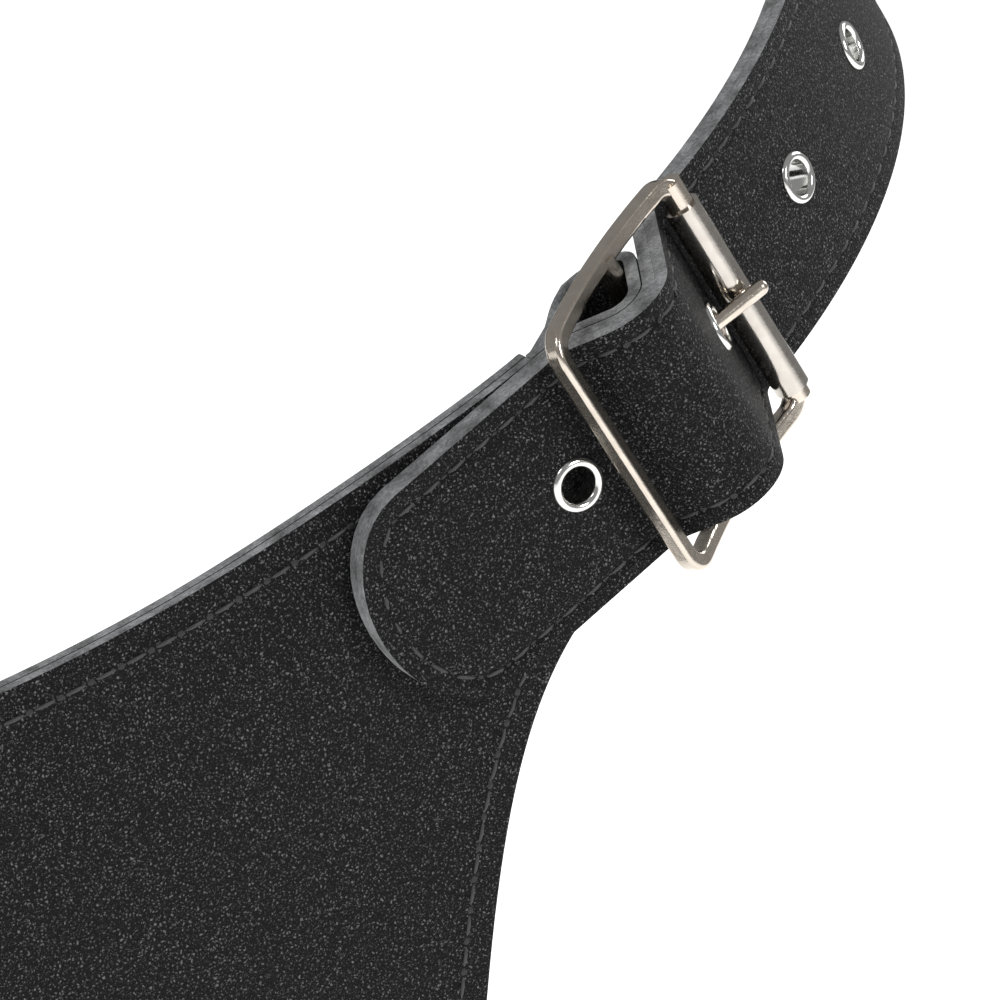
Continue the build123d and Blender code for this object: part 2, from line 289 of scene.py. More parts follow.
# ------------------------------------------------------------------ panel outline
LOW_CORNER_UP = 92.0            # where the side starts to turn in, above the foot
LOW_CORNER_IN = 14.0
FOOT_CORNER_UP = 10.0           # where the foot starts to turn up
FOOT_CORNER_IN = 78.0
NECK_DIR = Vector((math.cos(NECK_RISE), math.sin(NECK_RISE)))
NECK_SIDE = Vector((-NECK_DIR.y, NECK_DIR.x))
HOLE = Vector((HOLE_S, HOLE_Z))
neck_top = HOLE + NECK_DIR * NECK_RUN + NECK_SIDE * HALF_STRAP
neck_low = HOLE + NECK_DIR * NECK_RUN - NECK_SIDE * HALF_STRAP


def bezier_chain(start, legs, count):
    """Evenly spaced samples along Bezier legs (first handle, second handle, end)."""
    fine = [start]
    for first, second, end in legs:
        for k in range(1, 61):
            t = k / 60
            m = 1 - t
            fine.append(start * m**3 + first * 3 * m * m * t + second * 3 * m * t * t + end * t**3)
        start = end
    return even(fine, count)


def even(points, count):
    run = [0.0]
    for k in range(1, len(points)):
        run.append(run[-1] + (points[k] - points[k - 1]).length)
    out = []
    j = 0
    for k in range(count + 1):
        want = run[-1] * k / count
        while j < len(run) - 2 and run[j + 1] < want:
            j += 1
        t = (want - run[j]) / max(1e-9, run[j + 1] - run[j])
        out.append(points[j].lerp(points[j + 1], t))
    return out


def panel_outline():
    """Half outline, from the middle of the top round the right side to the middle below."""
    top_mid = flat_point(0, HOLE_Z - PANEL_DIP)
    low_mid = flat_point(0, HOLE_Z - PANEL_FOOT)
    slope = flat_point(0.922, 0.387)
    down = flat_point(-0.09, -1)
    join = HOLE + flat_point(-79, -11.5)
    waist = HOLE + flat_point(-SIDE_INSET, -108)
    corner_high = HOLE + flat_point(-SIDE_INSET - LOW_CORNER_IN, -PANEL_FOOT + LOW_CORNER_UP)
    corner_low = HOLE + flat_point(-SIDE_INSET - FOOT_CORNER_IN, -PANEL_FOOT + FOOT_CORNER_UP)
    top = bezier_chain(
        top_mid,
        [
            (top_mid + flat_point(60, 0), join - slope * 38, join),
            (join + slope * 20, neck_top - NECK_DIR * 18, neck_top),
        ],
        72,
    )
    end = [neck_top.lerp(neck_low, k / 18) for k in range(1, 18)]
    side = bezier_chain(
        neck_low,
        [
            (neck_low - NECK_DIR * 28, waist - down * 56, waist),
            (waist + down * 50, corner_high + flat_point(6, 40), corner_high),
            (corner_high - flat_point(6, 40), corner_low + flat_point(45, 7), corner_low),
            (corner_low - flat_point(45, 7), low_mid + flat_point(60, 0), low_mid),
        ],
        150,
    )
    return top + end + side


def cushion_outline(margin):
    """Half outline of the cushion, margin inside the panel's edge."""
    top_mid = flat_point(0, HOLE_Z - PANEL_DIP - margin)
    low_mid = flat_point(0, HOLE_Z - PANEL_FOOT + margin)
    shoulder = HOLE + flat_point(-SIDE_INSET - 58, -12 - margin)
    corner_top = HOLE + flat_point(-SIDE_INSET - margin, -66 - margin)
    corner_high = HOLE + flat_point(-SIDE_INSET - LOW_CORNER_IN - margin, -PANEL_FOOT + LOW_CORNER_UP)
    corner_low = HOLE + flat_point(-SIDE_INSET - FOOT_CORNER_IN, -PANEL_FOOT + FOOT_CORNER_UP + margin)
    legs = [
        (top_mid + flat_point(60, 0), shoulder - flat_point(40, 12), shoulder),
        (shoulder + flat_point(26, 8), corner_top + flat_point(2, 32), corner_top),
        (corner_top - flat_point(3, 45), corner_high + flat_point(6, 40), corner_high),
        (corner_high - flat_point(5, 34), corner_low + flat_point(38, 6), corner_low),
        (corner_low - flat_point(45, 7), low_mid + flat_point(60, 0), low_mid),
    ]
    return bezier_chain(top_mid, legs, 150)


def whole_loop(half):
    """Closed outline, clockwise as seen from outside, from its right half."""
    return half + [flat_point(-p.x, p.y) for p in reversed(half[1:-1])]


def inset_loop(loop, inset):
    """The loop moved inward, point by point."""
    out = []
    for k in range(len(loop)):
        d = (loop[(k + 1) % len(loop)] - loop[k - 1]).normalized()
        out.append(loop[k] + flat_point(d.y, -d.x) * inset)
    return out


def inside(loop, p):
    odd = False
    for k in range(len(loop)):
        a = loop[k - 1]
        b = loop[k]
        if (a.y > p.y) != (b.y > p.y) and p.x < a.x + (p.y - a.y) * (b.x - a.x) / (b.y - a.y):
            odd = not odd
    return odd


def rim_tree(loop):
    tree = kdtree.KDTree(len(loop))
    for k, p in enumerate(loop):
        tree.insert((p.x, p.y, 0), k)
    tree.balance()
    return tree


# ------------------------------------------------------------------ modelling helpers
def clear_selection():
    if bpy.context.object and bpy.context.object.mode != "OBJECT":
        bpy.ops.object.mode_set(mode="OBJECT")
    bpy.ops.object.select_all(action="DESELECT")


def only(obj):
    clear_selection()
    obj.select_set(True)
    bpy.context.view_layer.objects.active = obj


def finish_modifier(obj, kind, **settings):
    only(obj)
    mod = obj.modifiers.new(kind.lower(), kind)
    for key, value in settings.items():
        setattr(mod, key, value)
    bpy.ops.object.modifier_apply(modifier=mod.name)


def thicken(obj, thick_mm, rim_slot=1):
    """Gives a sheet its thickness, inward, with the cut rim in material rim_slot."""
    finish_modifier(
        obj, "SOLIDIFY", thickness=thick_mm * MM, offset=-1,
        material_offset_rim=rim_slot, use_even_offset=False,
    )


def cut_away(obj, tool):
    finish_modifier(obj, "BOOLEAN", object=tool, operation="DIFFERENCE", solver="EXACT")
    bpy.data.objects.remove(tool)


def whole_mesh(obj, *steps):
    """Runs each (mesh operator, settings) on all of obj in Edit Mode."""
    only(obj)
    bpy.ops.object.mode_set(mode="EDIT")
    bpy.ops.mesh.select_all(action="SELECT")
    for operator, settings in steps:
        operator(**settings)
    bpy.ops.object.mode_set(mode="OBJECT")


def sheet_grid(name, columns, rows, place):
    """A grid primitive whose points are laid where place(column, row) says, in mm."""
    clear_selection()
    bpy.ops.mesh.primitive_grid_add(x_subdivisions=columns, y_subdivisions=rows, size=1)
    obj = bpy.context.object
    obj.name = name
    obj.data.name = name
    for v in obj.data.vertices:
        j, i = divmod(v.index, columns + 1)
        v.co = place(i, j) * MM
    return obj


def flat_pattern(name, loop, rings, step, place):
    """A sheet cut to the closed flat outline, each point laid where place(s, z) says."""
    points = list(loop)
    for inset in rings:
        points += inset_loop(loop, inset)
    tree = rim_tree(loop)
    clear = rings[-1] + 0.7 * step
    reach = max(p.x for p in loop)
    low = min(p.y for p in loop)
    high = max(p.y for p in loop)
    count = int(reach / step) + 1
    for i in range(-count, count + 1):
        for j in range(int((high - low) / step) + 1):
            p = flat_point(i * step, low + j * step)
            if inside(loop, p) and tree.find((p.x, p.y, 0))[2] > clear:
                points.append(p)
    ring_edges = [(k, (k + 1) % len(loop)) for k in range(len(loop))]
    cut = geometry.delaunay_2d_cdt(points, ring_edges, [], 1, 1e-5)
    mesh = bpy.data.meshes.new(name)
    mesh.from_pydata([place(p.x, p.y) * MM for p in cut[0]], [], cut[2])
    obj = bpy.data.objects.new(name, mesh)
    bpy.context.scene.collection.objects.link(obj)
    return obj


def flip(obj):
    whole_mesh(obj, (bpy.ops.mesh.flip_normals, {}))


def outward_normals(obj):
    whole_mesh(
        obj,
        (bpy.ops.mesh.remove_doubles, {"threshold": 0.02 * MM}),
        (bpy.ops.mesh.normals_make_consistent, {"inside": False}),
    )


def smooth(obj, degrees=40):
    only(obj)
    bpy.ops.object.shade_smooth_by_angle(angle=math.radians(degrees))


def add_node(tree, kind, links=None, **settings):
    """A node with its settings, its socket values (in_Name) and its incoming links."""
    node = tree.nodes.new(kind)
    for key, value in settings.items():
        if key.startswith("in_"):
            node.inputs[key[3:].replace("_", " ")].default_value = value
        else:
            setattr(node, key, value)
    for socket, source in (links or {}).items():
        tree.links.new(source, node.inputs[socket])
    return node


def linear(code):
    """sRGB hex code to linear RGBA."""
    out = []
    for k in (0, 2, 4):
        c = int(code[k + 1:k + 3], 16) / 255
        out.append(c / 12.92 if c <= 0.04045 else ((c + 0.055) / 1.055) ** 2.4)
    return (*out, 1.0)


def new_material(name):
    mat = bpy.data.materials.new(name)
    mat.use_nodes = True
    tree = mat.node_tree
    shader = tree.nodes["Principled BSDF"]
    return mat, tree, shader


def wear(obj, *mats):
    for m in mats:
        obj.data.materials.append(m)


# ------------------------------------------------------------------ finishes
# colour sockets of Blender's Mix node
MIX_A = 6
MIX_B = 7
MIX_OUT = 2


def grained_leather(name, crease_shade_tone, pebble_tone, painted_glint_tone, grain_mm, depth_mm, roughness):
    """Drum-dyed chrome-tanned cowhide, embossed with a fine pebble and sealed: small rounded pebbles,
    with painted shade darkening the creases and painted glints scattered pale over the crowns."""
    mat, tree, shader = new_material(name)
    where = add_node(tree, "ShaderNodeTexCoord")
    drift = add_node(
        tree, "ShaderNodeTexNoise", {"Vector": where.outputs["Object"]},
        in_Scale=0.6 / (grain_mm * MM), in_Detail=2.0,
    )
    bent = add_node(
        tree, "ShaderNodeVectorMath", {0: drift.outputs["Color"]}, operation="SCALE",
        in_Scale=grain_mm * MM * 1.2,
    )
    moved = add_node(
        tree, "ShaderNodeVectorMath",
        {0: where.outputs["Object"], 1: bent.outputs["Vector"]}, operation="ADD",
    )
    pebble = add_node(
        tree, "ShaderNodeTexVoronoi", {"Vector": moved.outputs["Vector"]},
        feature="DISTANCE_TO_EDGE", in_Scale=1 / (grain_mm * MM),
    )
    crown = add_node(
        tree, "ShaderNodeMapRange", {"Value": pebble.outputs["Distance"]},
        interpolation_type="SMOOTHSTEP", in_From_Min=0.02, in_From_Max=0.3,
    )
    fleck = add_node(
        tree, "ShaderNodeTexNoise", {"Vector": where.outputs["Object"]},
        in_Scale=1.5 / (grain_mm * MM), in_Detail=2.0, in_Roughness=0.6,
    )
    lit = add_node(
        tree, "ShaderNodeMapRange", {"Value": fleck.outputs["Fac"]},
        interpolation_type="SMOOTHSTEP", in_From_Min=0.48, in_From_Max=0.66,
    )
    # painted glints: pale flecks on the pebbles' crowns stand in for light caught by the grain
    painted_glint_mask = add_node(
        tree, "ShaderNodeMath", {0: lit.outputs["Result"], 1: crown.outputs["Result"]},
        operation="MULTIPLY",
    )
    sway = add_node(
        tree, "ShaderNodeTexNoise", {"Vector": where.outputs["Object"]},
        in_Scale=90.0, in_Detail=2.0,
    )
    swell = add_node(
        tree, "ShaderNodeBump", {"Height": sway.outputs["Fac"]},
        in_Strength=0.3, in_Distance=0.8 * MM,
    )
    relief = add_node(
        tree, "ShaderNodeMath", {0: crown.outputs["Result"], 1: lit.outputs["Result"]},
        operation="ADD",
    )
    bump = add_node(
        tree, "ShaderNodeBump",
        {"Height": relief.outputs["Value"], "Normal": swell.outputs["Normal"]},
        in_Strength=0.75, in_Distance=depth_mm * MM,
    )
    # painted shade: the creases are coloured darker than the pebbles' crowns
    crease_shaded_ground = add_node(
        tree, "ShaderNodeMix", {"Factor": crown.outputs["Result"]}, data_type="RGBA",
    )
    crease_shaded_ground.inputs[MIX_A].default_value = linear(crease_shade_tone)
    crease_shaded_ground.inputs[MIX_B].default_value = linear(pebble_tone)
    tone = add_node(tree, "ShaderNodeMix", {"Factor": painted_glint_mask.outputs["Value"]}, data_type="RGBA")
    tree.links.new(crease_shaded_ground.outputs[MIX_OUT], tone.inputs[MIX_A])
    tone.inputs[MIX_B].default_value = linear(painted_glint_tone)
    rough = add_node(
        tree, "ShaderNodeMapRange", {"Value": painted_glint_mask.outputs["Value"]},
        in_To_Min=min(1.0, roughness + 0.22), in_To_Max=roughness,
    )
    tree.links.new(tone.outputs[MIX_OUT], shader.inputs["Base Color"])
    tree.links.new(rough.outputs["Result"], shader.inputs["Roughness"])
    tree.links.new(bump.outputs["Normal"], shader.inputs["Normal"])
    shader.inputs["Specular IOR Level"].default_value = 0.14
    return mat


def cut_edge_leather(name, dark, light):
    """The knife-cut edge of dyed hide: loose grey fibre, matt, dyed through but paler
    than the sealed grain side."""
    mat, tree, shader = new_material(name)
    where = add_node(tree, "ShaderNodeTexCoord")
    fibre = add_node(
        tree, "ShaderNodeTexNoise", {"Vector": where.outputs["Object"]},
        in_Scale=1 / (0.7 * MM), in_Detail=6.0, in_Roughness=0.65,
    )
    patch_tone = add_node(
        tree, "ShaderNodeTexNoise", {"Vector": where.outputs["Object"]},
        in_Scale=1 / (5.0 * MM), in_Detail=3.0,
    )
    both = add_node(
        tree, "ShaderNodeMath", {0: fibre.outputs["Fac"], 1: patch_tone.outputs["Fac"]},
        operation="MULTIPLY",
    )
    ramp = add_node(
        tree, "ShaderNodeMapRange", {"Value": both.outputs["Value"]},
        in_From_Min=0.12, in_From_Max=0.4,
    )
    tone = add_node(tree, "ShaderNodeMix", {"Factor": ramp.outputs["Result"]}, data_type="RGBA")
    tone.inputs[MIX_A].default_value = linear(dark)
    tone.inputs[MIX_B].default_value = linear(light)
    bump = add_node(
        tree, "ShaderNodeBump", {"Height": fibre.outputs["Fac"]},
        in_Strength=0.7, in_Distance=0.25 * MM,
    )
    tree.links.new(tone.outputs[MIX_OUT], shader.inputs["Base Color"])
    tree.links.new(bump.outputs["Normal"], shader.inputs["Normal"])
    shader.inputs["Roughness"].default_value = 0.85
    shader.inputs["Specular IOR Level"].default_value = 0.3
    shader.inputs["Sheen Weight"].default_value = 0.25
    shader.inputs["Sheen Roughness"].default_value = 0.6
    return mat


def waxed_thread(name, dark, light):
    """Bonded polyester thread, waxed: twisted strands with a dull sheen."""
    mat, tree, shader = new_material(name)
    where = add_node(tree, "ShaderNodeTexCoord")
    twist = add_node(
        tree, "ShaderNodeTexNoise", {"Vector": where.outputs["Object"]},
        in_Scale=1 / (0.45 * MM), in_Detail=3.0,
    )
    tone = add_node(tree, "ShaderNodeMix", {"Factor": twist.outputs["Fac"]}, data_type="RGBA")
    tone.inputs[MIX_A].default_value = linear(dark)
    tone.inputs[MIX_B].default_value = linear(light)
    bump = add_node(
        tree, "ShaderNodeBump", {"Height": twist.outputs["Fac"]},
        in_Strength=0.6, in_Distance=0.15 * MM,
    )
    tree.links.new(tone.outputs[MIX_OUT], shader.inputs["Base Color"])
    tree.links.new(bump.outputs["Normal"], shader.inputs["Normal"])
    shader.inputs["Roughness"].default_value = 0.5
    return mat


def nickel_plate(name, base, shade, roughness, pit_mm, pit_depth_mm):
    """Nickel plating over zinc casting: warm bright metal, with the small pits and soft
    waves that the casting keeps under the plating."""
    mat, tree, shader = new_material(name)
    where = add_node(tree, "ShaderNodeTexCoord")
    pit = add_node(
        tree, "ShaderNodeTexNoise", {"Vector": where.outputs["Object"]},
        in_Scale=1 / (pit_mm * MM), in_Detail=4.0, in_Roughness=0.6,
    )
    wave = add_node(
        tree, "ShaderNodeTexNoise", {"Vector": where.outputs["Object"]},
        in_Scale=1 / (6 * pit_mm * MM), in_Detail=2.0,
    )
    swell = add_node(
        tree, "ShaderNodeBump", {"Height": wave.outputs["Fac"]},
        in_Strength=0.5, in_Distance=3 * pit_depth_mm * MM,
    )
    bump = add_node(
        tree, "ShaderNodeBump",
        {"Height": pit.outputs["Fac"], "Normal": swell.outputs["Normal"]},
        in_Strength=0.5, in_Distance=pit_depth_mm * MM,
    )
    tone = add_node(tree, "ShaderNodeMix", {"Factor": wave.outputs["Fac"]}, data_type="RGBA")
    tone.inputs[MIX_A].default_value = linear(shade)
    tone.inputs[MIX_B].default_value = linear(base)
    rough = add_node(
        tree, "ShaderNodeMapRange", {"Value": pit.outputs["Fac"]},
        in_From_Min=0.3, in_From_Max=0.7,
        in_To_Min=roughness * 1.5, in_To_Max=roughness * 0.8,
    )
    tree.links.new(tone.outputs[MIX_OUT], shader.inputs["Base Color"])
    tree.links.new(rough.outputs["Result"], shader.inputs["Roughness"])
    tree.links.new(bump.outputs["Normal"], shader.inputs["Normal"])
    shader.inputs["Metallic"].default_value = 1.0
    return mat


def plain_paper(name, code):
    """Matt studio paper with a very faint mottle."""
    mat, tree, shader = new_material(name)
    where = add_node(tree, "ShaderNodeTexCoord")
    mottle = add_node(
        tree, "ShaderNodeTexNoise", {"Vector": where.outputs["Object"]}, in_Scale=3.0,
    )
    tone = add_node(tree, "ShaderNodeMix", {"Factor": mottle.outputs["Fac"]}, data_type="RGBA")
    tone.inputs[MIX_A].default_value = linear(code)
    tone.inputs[MIX_B].default_value = linear("#ffffff")
    tree.links.new(tone.outputs[MIX_OUT], shader.inputs["Base Color"])
    tree.links.new(tone.outputs[MIX_OUT], shader.inputs["Emission Color"])
    shader.inputs["Emission Strength"].default_value = 0.8
    shader.inputs["Roughness"].default_value = 0.9
    return mat


# tones of each hide: painted crease shade, pebble crown, then painted glints
black_hide = grained_leather(
    "pebbled_black_cowhide", "#030303", "#0c0c0d", "#6e6e70", 0.8, 0.22, 0.34
)
back_hide = grained_leather("black_hide_lining", "#0a0a0a", "#181819", "#2c2c2c", 1.2, 0.10, 0.6)
cushion_hide = grained_leather("soft_black_nappa", "#0a0a0a", "#141415", "#2a2a2b", 1.5, 0.14, 0.45)
edge_hide = cut_edge_leather("knife_cut_hide_edge", "#2c2e2e", "#a2a4a6")
thread = waxed_thread("waxed_black_thread", "#161616", "#3a3a3a")
cast_nickel = nickel_plate("cast_nickel_plate", "#d8cfc3", "#bdb3a7", 0.16, 0.55, 0.05)
rolled_nickel = nickel_plate("rolled_nickel_tube", "#d2cdc6", "#aaa39b", 0.14, 0.8, 0.03)
bright_nickel = nickel_plate("bright_nickel_eyelet", "#e6e6e4", "#d2d2cf", 0.13, 1.2, 0.02)
paper = plain_paper("studio_paper", "#f4f4f4")
# painted shade: near-black patches laid over the needle holes between the stitches
hole_shade_paint = waxed_thread("needle_hole_shadow", "#020202", "#050505")

# ------------------------------------------------------------------ strap
# columns of the strap, closer together by the edge and the seam
INSETS = [0, 0.9, 2.2, 3.2, 3.8, 4.2, 4.6, 5.2, 7.0, 10.0, 14.0, 19.0, 25.0]
WIDTHS = [inset / HALF_STRAP - 1 for inset in INSETS]
WIDTHS = WIDTHS + [-w for w in reversed(WIDTHS[:-1])]
GROOVE = 0.45                   # how deep the thread pulls the surface down
GROOVE_HALF = 0.75
PLY_CLEAR = 0.02                # keeps two plies' faces apart


def strap_groove(run, w):
    """How far the thread has pulled the surface down at a place on the strap."""
    from_tip = min(run, STRAP_LENGTH - run)
    half = HALF_STRAP - STRAP_SEAM
    if from_tip >= TIP_ROUND:
        off = abs(abs(w) - half)
    else:
        lead = (TIP_ROUND - from_tip) / (TIP_ROUND - STRAP_SEAM)
        off = abs(math.hypot(lead, w / half) - 1) * (TIP_ROUND - STRAP_SEAM)
    return GROOVE * math.exp(-((off / GROOVE_HALF) ** 2))


def strap_layer(name, low, high, face_up, grain):
    """One ply of the strap, laid along its path, with its cut edges in the edge finish."""
    surface = high if face_up else low
    sign = -1 if face_up else 1

    def lay(i, j):
        p, wide, up = whole_strap[i]
        w = WIDTHS[j] * strap_half_width(strap_run[i])
        return p + wide * w + up * (surface + sign * strap_groove(strap_run[i], w))

    obj = sheet_grid(name, len(whole_strap) - 1, len(WIDTHS) - 1, lay)
    whole_mesh(obj, (bpy.ops.mesh.normals_make_consistent, {"inside": False}))
    place, _, up = whole_strap[len(whole_strap) // 4]
    near = min(obj.data.polygons, key=lambda f: (f.center - place * MM).length)
    if (near.normal.dot(up) < 0) == face_up:
        flip(obj)
    wear(obj, grain, edge_hide)
    thicken(obj, high - low - GROOVE)
    return obj


def ease_edges(obj, width_mm, segments=2):
    finish_modifier(
        obj, "BEVEL", width=width_mm * MM, segments=segments, limit_method="ANGLE",
        angle_limit=math.radians(50), material=-1,
    )


def punch(obj, spots, radius_mm):
    """Cuts a round hole through obj at each (point, axis)."""
    for point, axis in spots:
        clear_selection()
        turn = axis.to_track_quat("Z", "Y").to_euler()
        bpy.ops.mesh.primitive_cylinder_add(
            vertices=40, radius=radius_mm * MM, depth=16 * MM,
            location=point * MM, rotation=turn,
        )
        cut_away(obj, bpy.context.object)


# eyelets: in the tongue, under the prong, and three round the bend
eyelet_places = [
    (Vector((-HOLE_BACK, TONGUE_MID)), 90.0),
    (meet(dive_at, -DIVE, Vector((0, -PRONG_DROP)), PRONG_RISE), 90 - DIVE),
]
for k in range(3):
    turn = FIRST_STEP + k * HOLE_STEP
    eyelet_places.append((on_bend(turn), 90 - LEAVE - turn))
hole_spots = []
for spot, angle in eyelet_places:
    here = side_point(spot.x, spot.y, 0)
    way = polar(angle)
    axis = ALONG * way.x + OUT * way.y
    hole_spots.append((here, axis))
    hole_spots.append((mirrored(here), mirrored(axis)))

strap_face = strap_layer("strap_grain_ply", -GROOVE + PLY_CLEAR, PLY, True, black_hide)
strap_back = strap_layer("strap_lining_ply", -PLY, GROOVE - PLY_CLEAR, False, back_hide)
for ply_obj in (strap_face, strap_back):
    ease_edges(ply_obj, 0.55)
    punch(ply_obj, hole_spots, HOLE_RADIUS)
    smooth(ply_obj)
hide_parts("strap_facing")
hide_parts("strap_lining")
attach(strap_face, "pad_and_strap")
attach(strap_back, "pad_and_strap")

# ------------------------------------------------------------------ panel
PANEL_HALF = panel_outline()
PANEL_LOOP = whole_loop(PANEL_HALF)


def panel_layer(name, low, high, face_out, grain):
    """One ply of the panel between two depths, wrapped round the front."""
    depth = low if face_out else high
    obj = flat_pattern(name, PANEL_LOOP, [1.3, 3.5], 5.5, lambda s, z: panel_point(s, z, depth))
    front = min(obj.data.polygons, key=lambda f: abs(f.center.x) + abs(f.center.z))
    if (front.normal.y > 0) == face_out:
        flip(obj)
    wear(obj, grain, edge_hide)
    thicken(obj, high - low)
    return obj


panel_face = panel_layer("panel_grain_ply", 0.0, PLY - PLY_CLEAR, True, black_hide)
panel_back = panel_layer("panel_lining_ply", PLY, 2 * PLY, False, back_hide)

# neck fold: the facing goes on round the centre bar and back under the neck
FOLD = PLY + GAP + PLY / 2
FOLD_DROP = 7.4                 # straight run down past the bar
LEG_TRIM = 3.5                  # the leg folded back is narrower by this on each side
LEG_TRIM_START = -7.0
LEG_TRIM_RUN = 6.0
SLOT_AT = (8.0, -1.0)           # slot where the prong's ring sits
SLOT_SIZE = Vector((18.0, 16.0, 7.0))
neck_mid = TONGUE_MID - FOLD
return_mid = neck_mid - PLY / 2 - PLY - GAP - PLY / 2
fold_rise = rise_at - polar(RISE + 90) * FOLD
fold_dive = dive_at - polar(90 - DIVE) * FOLD
fold_path = rounded(
    [
        Vector((-24.0, neck_mid)),
        meet(Vector((0, neck_mid)), 0, fold_rise, RISE),
        meet(fold_rise, RISE, fold_dive, -DIVE),
        fold_dive + polar(-DIVE) * FOLD_DROP,
        Vector((-1.5, -10.6)),
        Vector((-10.5, -10.4)),
        Vector((-21.5, return_mid)),
        Vector((-54.0, return_mid)),
    ],
    [FOOT_RADIUS + FOLD, HUMP_RADIUS - FOLD, 4.2, 6.0, 6.0, 8.0],
    2.0,
)


def fold_layer(name, on_left):
    """The neck's fold round the centre bar, with the prong's slot cut through it."""
    def own_side(v):
        return mirrored(v) if on_left else v

    def lay(i, j):
        p, h = fold_path[i]
        q = p + polar(h + 90) * (PLY / 2)
        wide = HALF_STRAP
        if p.y < -2:
            wide -= LEG_TRIM * min(1.0, max(0.0, (LEG_TRIM_START - p.x) / LEG_TRIM_RUN))
        return own_side(side_point(q.x, q.y, WIDTHS[j] * wide))

    obj = sheet_grid(name, len(fold_path) - 1, len(WIDTHS) - 1, lay)
    if obj.data.polygons[0].normal.dot(own_side(OUT)) < 0:
        flip(obj)
    wear(obj, black_hide, edge_hide)
    thicken(obj, PLY)
    clear_selection()
    slot_mid = side_point(*SLOT_AT, 0)
    bpy.ops.mesh.primitive_cube_add(size=1)
    tool = bpy.context.object
    for v in tool.data.vertices:
        local = v.co * SLOT_SIZE
        v.co = own_side(slot_mid + ALONG * local.x + OUT * local.y + ACROSS * local.z) * MM
    outward_normals(tool)
    cut_away(obj, tool)
    return obj


fold_right = fold_layer("neck_fold_right", False)
fold_left = fold_layer("neck_fold_left", True)
for obj in (panel_face, panel_back, fold_right, fold_left):
    ease_edges(obj, 0.5)
    smooth(obj)
    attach(obj, "pad_and_strap")
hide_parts("panel_facing")
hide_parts("panel_lining")

# ------------------------------------------------------------------ stitching
def make_stitch():
    """One stitch: a short fat thread, lying along X, its ends tucked down."""
    clear_selection()
    bpy.ops.mesh.primitive_uv_sphere_add(segments=8, ring_count=6, radius=0.5)
    obj = bpy.context.object
    lay_down = {"value": math.radians(90), "orient_axis": "Y", "center_override": (0, 0, 0)}
    whole_mesh(obj, (bpy.ops.transform.rotate, lay_down))
    verts = [v.co.copy() for v in obj.data.vertices]
    faces = [tuple(f.vertices) for f in obj.data.polygons]
    bpy.data.objects.remove(obj)
    for v in verts:
        bow = 1 - (2 * v.x) ** 2
        v.z = v.z * 0.95 + 0.55 * bow - 0.45
    return verts, faces


stitch_verts, stitch_faces = make_stitch()


def sew(name, spots, mat, flat, fat):
    """Threads at each (centre, along, up, length) as one mesh; flat high, fat wide, in mm."""
    verts = []
    faces = []
    for centre, along, up, length in spots:
        side = up.cross(along).normalized()
        base = len(verts)
        for v in stitch_verts:
            p = centre + along * (v.x * length) + side * (v.y * fat) + up * (v.z * flat)
            verts.append(p * MM)
        faces += [tuple(base + k for k in f) for f in stitch_faces]
    mesh = bpy.data.meshes.new(name)
    mesh.from_pydata(verts, [], faces)
    obj = bpy.data.objects.new(name, mesh)
    bpy.context.scene.collection.objects.link(obj)
    outward_normals(obj)
    smooth(obj, 60)
    wear(obj, mat)
    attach(obj, "pad_and_strap")
    return obj


def strap_seam_loop():
    """Seam line of the strap as (run, w) all round, inset from its edge."""
    straight = STRAP_LENGTH - 2 * TIP_ROUND
    steps = int(straight / 3.0)
    half = HALF_STRAP - STRAP_SEAM
    reach = TIP_ROUND - STRAP_SEAM
    out_row = [Vector((TIP_ROUND + straight * k / steps, half)) for k in range(steps + 1)]
    back_row = [
        Vector((STRAP_LENGTH - TIP_ROUND - straight * k / steps, -half)) for k in range(steps + 1)
    ]

    def tip_row(x, start):
        angles = [start - math.pi * k / 24 for k in range(1, 24)]
        return [Vector((x + reach * math.cos(a), half * math.sin(a))) for a in angles]

    far_tip = tip_row(STRAP_LENGTH - TIP_ROUND, math.pi / 2)
    near_tip = tip_row(TIP_ROUND, -math.pi / 2)
    return out_row + far_tip + back_row + near_tip


def along_loop(loop, pitch):
    """Even places (position, direction) round a closed line of flat points."""
    pts = loop + [loop[0]]
    run = [0.0]
    for k in range(1, len(pts)):
        run.append(run[-1] + (pts[k] - pts[k - 1]).length)
    count = int(round(run[-1] / pitch))
    out = []
    j = 0
    for k in range(count):
        want = (k + 0.5) * run[-1] / count
        while j < len(run) - 2 and run[j + 1] < want:
            j += 1
        t = (want - run[j]) / max(1e-9, run[j + 1] - run[j])
        out.append((pts[j].lerp(pts[j + 1], t), (pts[j + 1] - pts[j]).normalized()))
    return out


HOLE_SHADE_LENGTH = 1.7
HOLE_SHADE_LIFT = 0.02


def stitch_row(name, spots):
    """A row of threads, and small patches of painted shade between them, where each goes down into its
    needle hole.
    """
    half_step = STITCH_PITCH / 2
    # each patch of painted shade sits halfway between two stitches
    hole_shade_spots = [(p + way * half_step + up * HOLE_SHADE_LIFT, way, up, HOLE_SHADE_LENGTH) for p, way, up, _ in spots]
    sew(name, spots, thread, 0.8, 0.95)
    sew(name + "_holes", hole_shade_spots, hole_shade_paint, 0.14, 1.25)


seam = along_loop(strap_seam_loop(), STITCH_PITCH)
for name, height, sign in (
    ("strap_stitches", PLY - GROOVE, 1),
    ("strap_back_stitches", GROOVE - PLY, -1),
):
    spots = []
    for p, d in seam:
        a, wide, up = strap_at(p.x, p.y, height)
        b, _, _ = strap_at(min(STRAP_LENGTH, p.x + d.x), p.y + d.y, height)
        spots.append((a, (b - a).normalized(), up * sign, THREAD_LENGTH))
    stitch_row(name, spots)


seam_loop = inset_loop(PANEL_LOOP, PANEL_SEAM)
